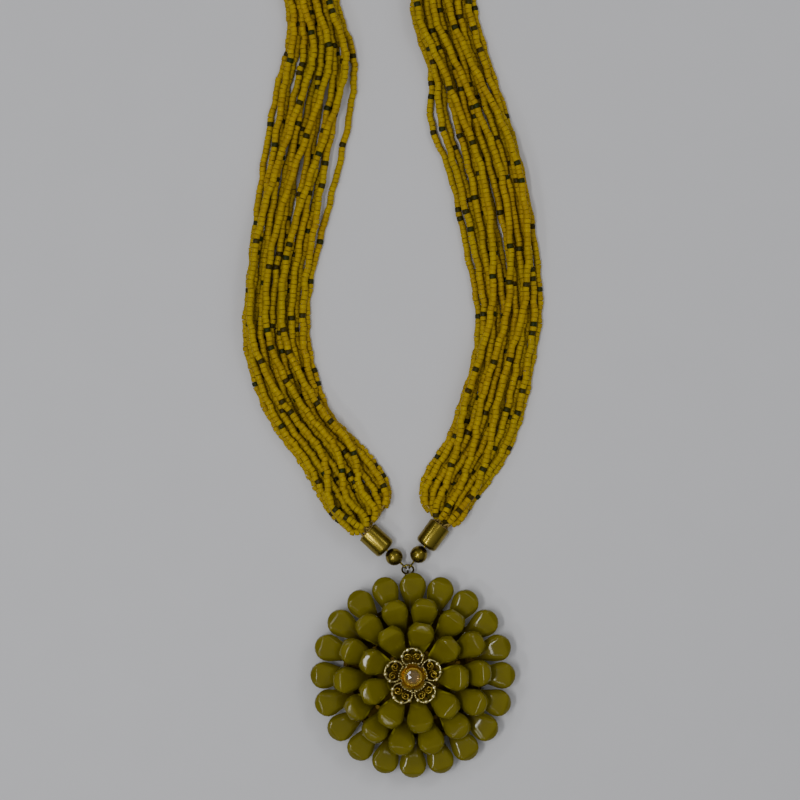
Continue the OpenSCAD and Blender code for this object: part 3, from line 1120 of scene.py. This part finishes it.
class NECKLACE_OT_drops(bpy.types.Operator):
    """Makes the faceted drops with softened edges"""

    bl_idname = "necklace.drops"
    bl_label = "Drops"

    def execute(self, context):
        props = context.scene.necklace_drops
        olive = drop_finish(props)
        for ring, head in HEADS.items():
            drops = softened_copy(f"{ring}_drops", f"faceted_drops_{ring}", olive, props.crease)
            # Weight of the painted shade on each neck, growing towards the pendant's middle
            neck = drops.data.attributes.new("neck", "FLOAT", "POINT")
            for vertex, value in zip(drops.data.vertices, neck.data):
                out = vertex.co.xy.length / MM
                value.value = smooth((head - NECK_FROM - out) / NECK_FADE)
            ready(drops, "olive_drops", f"{ring}_drops")
        return {"FINISHED"}


class NECKLACE_OT_pendant(bpy.types.Operator):
    """Finishes the pendant's back, wires, flower, cup and stone, and adds the grains"""

    bl_idname = "necklace.pendant"
    bl_label = "Pendant"

    def execute(self, context):
        props = context.scene.necklace_gold
        finishes = (
            # name, colour, colour where worn, roughness, wear, depth of the marks
            ("back_gold", props.base_colour, (0.03, 0.02, 0.005), 0.42, 0.8, 0.00005),
            ("flower_gold", props.flower_colour, props.cup_colour, 0.19, 0.7, 0.00003),
            ("cup_gold", props.cup_colour, (0.3, 0.14, 0.02), 0.2, 0.7, 0.00003),
        )
        dull, bright, amber = (gold_finish(*values) for values in finishes)
        dress(dull, "pendant_base", "outer_wire", "middle_wire", "inner_wire")
        dress(bright, "flower_cap")
        dress(amber, "stone_cup")
        ready(cut_stone(stone_finish()), "stone", "centre_stone")
        tree = along_tree("gold_grains", coloured=False)
        petals = [petal_place(k) for k in range(PETALS)]
        leaves = [leaf_place(k) for k in range(PETALS)]
        circle = [
            Vector((*polar(COLLET_R, 2 * math.pi * j / CIRCLE_STEPS), COLLET_TOP))
            for j in range(CIRCLE_STEPS)
        ]
        ends = arcs(petals, -END_HALF, END_HALF, PETAL_R, 0.3)
        sides = [
            path for start in SIDE_STARTS
            for path in arcs(petals, start, start + SIDE_LENGTH, PETAL_R, 0.25, steps=10)
        ]
        tips = arcs(leaves, -LEAF_HALF, LEAF_HALF, CUP_R - 0.1, 0.05)
        fine, coarse = props.grain_diameter / MM, props.rim_grain_diameter / MM
        rows = (
            # name, grain size, pitch, material, paths, whether they close
            ("petal_rims", coarse, 1.45 * coarse, bright, ends, False),
            ("petal_grains", fine, 1.1 * fine, bright, sides, False),
            ("cup_grains", fine, 1.15 * fine, bright, tips, False),
            ("stone_grains", fine, 1.08 * fine, amber, [circle], True),
        )
        for number, (name, size, pitch, metal, paths, closed) in enumerate(rows):
            form = grain(size / 2)
            values = {
                "Piece": form, "Pitch": pitch * MM, "Size spread": 0.22, "Length spread": 0.1,
                "Lean": 0.6, "Seed": 7 * number, "Material": metal,
            }
            ready(grow(path_object(paths, closed), tree, values, name), "flower_gold")
            bpy.data.objects.remove(form)
        scrolls = [[place @ p for p in scroll(side)] for place in petals for side in (1, -1)]
        points, faces = tube_mesh(scrolls, props.scroll_wire / 2 / MM, 8)
        ready(mesh_piece("petal_scrolls", points, faces, amber), "flower_gold")
        return {"FINISHED"}


class NECKLACE_PT_pieces(bpy.types.Panel):
    """Lists the steps that make the necklace"""

    bl_label = "Necklace"
    bl_space_type = "VIEW_3D"
    bl_region_type = "UI"
    bl_category = "Necklace"

    def draw(self, context):
        for step in STEPS:
            self.layout.operator(step.bl_idname)
        for name in SETTINGS:
            group = getattr(context.scene, name)
            for prop in group.__annotations__:
                self.layout.prop(group, prop)


STEPS = (
    NECKLACE_OT_stage,
    NECKLACE_OT_bead_strings,
    NECKLACE_OT_threads,
    NECKLACE_OT_fittings,
    NECKLACE_OT_drops,
    NECKLACE_OT_pendant,
)
SETTINGS = {
    "necklace_beads": BeadStringSettings,
    "necklace_drops": DropSettings,
    "necklace_gold": GoldSettings,
    "necklace_stage": StageSettings,
}


def register():
    for cls in (*SETTINGS.values(), *STEPS, NECKLACE_PT_pieces):
        bpy.utils.register_class(cls)
    for name, cls in SETTINGS.items():
        setattr(bpy.types.Scene, name, PointerProperty(type=cls))


def unregister():
    for name in SETTINGS:
        delattr(bpy.types.Scene, name)
    for cls in reversed((*SETTINGS.values(), *STEPS, NECKLACE_PT_pieces)):
        bpy.utils.unregister_class(cls)


def main():
    register()
    for step in STEPS:
        group, name = step.bl_idname.split(".")
        getattr(getattr(bpy.ops, group), name)()


if __name__ == "__main__":
    main()
